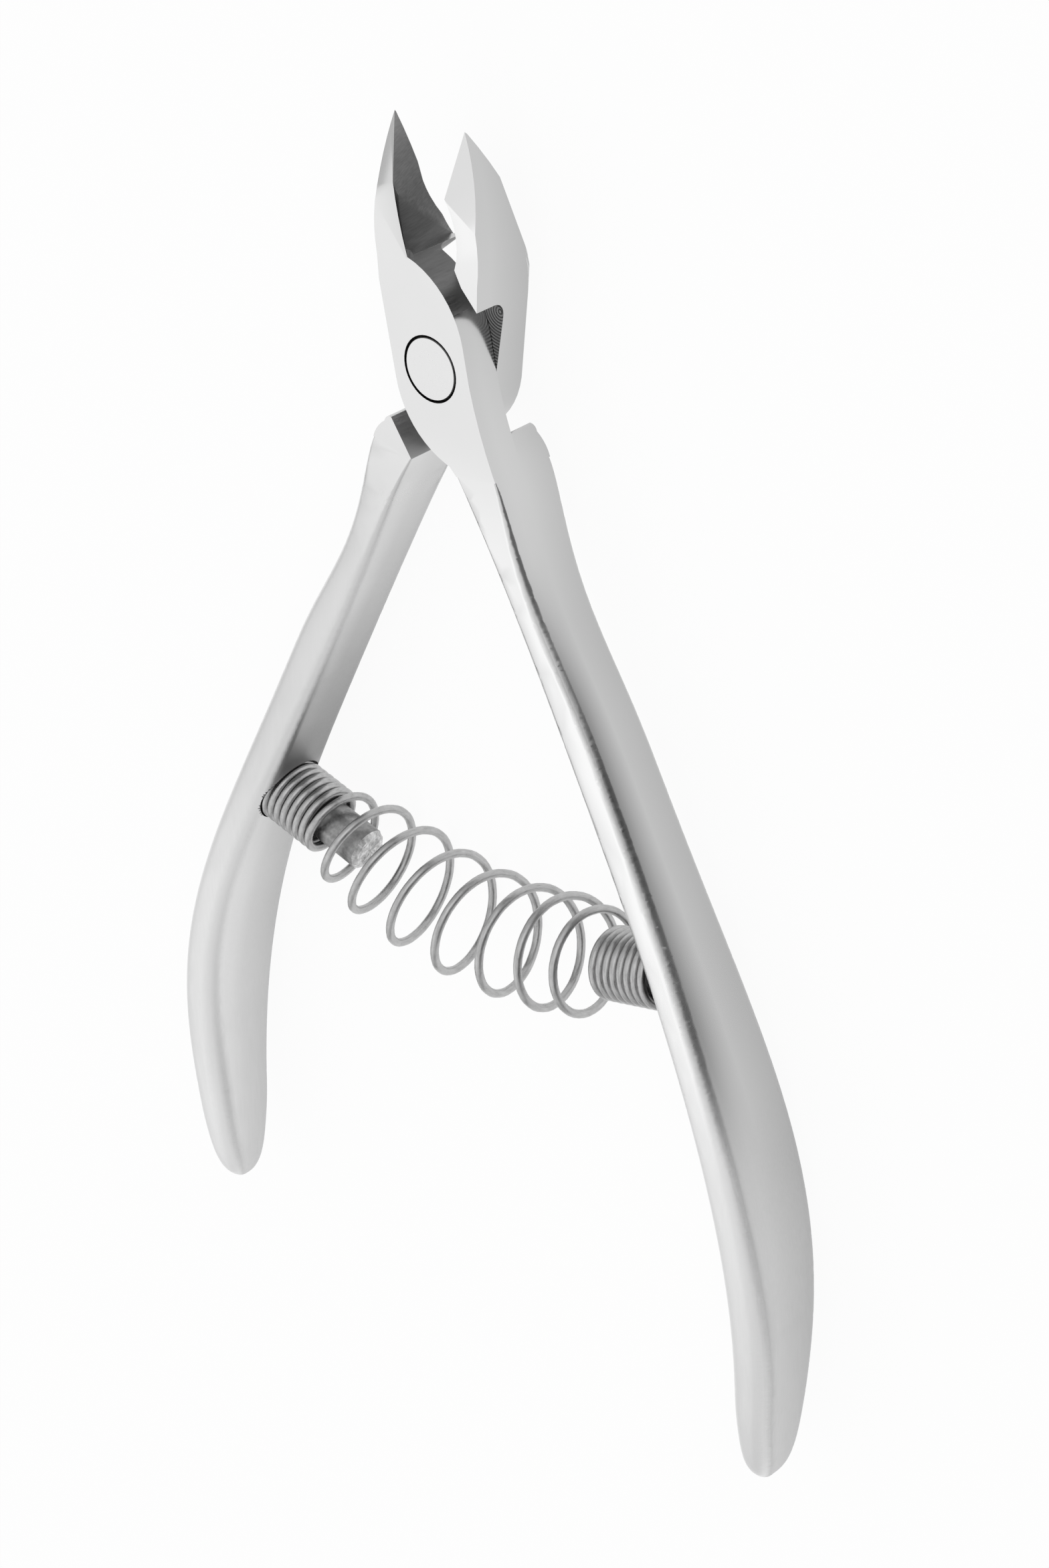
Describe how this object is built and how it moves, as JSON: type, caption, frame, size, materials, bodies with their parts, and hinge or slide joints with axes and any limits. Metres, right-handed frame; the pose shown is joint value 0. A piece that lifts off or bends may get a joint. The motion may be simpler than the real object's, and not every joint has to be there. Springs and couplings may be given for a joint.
{
  "type": "cuticle nipper",
  "caption": "Lap-joint cuticle nipper with pointed cutting jaws, a flush pivot pin and curved handles held open by a barrel coil spring.",
  "frame": {"origin": "on the pivot axis at the rear face of the joint", "axes": "+X towards the front half's handle, +Y towards the jaws, +Z out of the front face along the pivot pin"},
  "size_m": [0.0656, 0.1072, 0.0099],
  "materials": {
    "polished_steel": "polished to a satin sheen",
    "pin_steel": "faced flush and polished",
    "peg_steel": "turned, with a rough cropped end",
    "spring_wire": "drawn wire"
  },
  "bodies": {
    "rear": {"rear_half": "polished_steel", "pivot_pin": "pin_steel", "left_spring_peg": "peg_steel", "return_spring": "spring_wire"},
    "front": {"front_half": "polished_steel", "right_spring_peg": "peg_steel"}
  },
  "joints": [
    {"name": "pivot", "type": "hinge", "parent": "rear", "child": "front", "pos_m": [0, 0, 0], "axis": [0, 0, -1], "range_deg": [0, 20.6], "stiffness_Nm_per_rad": 0.9, "deforming": ["return_spring"]}
  ]
}
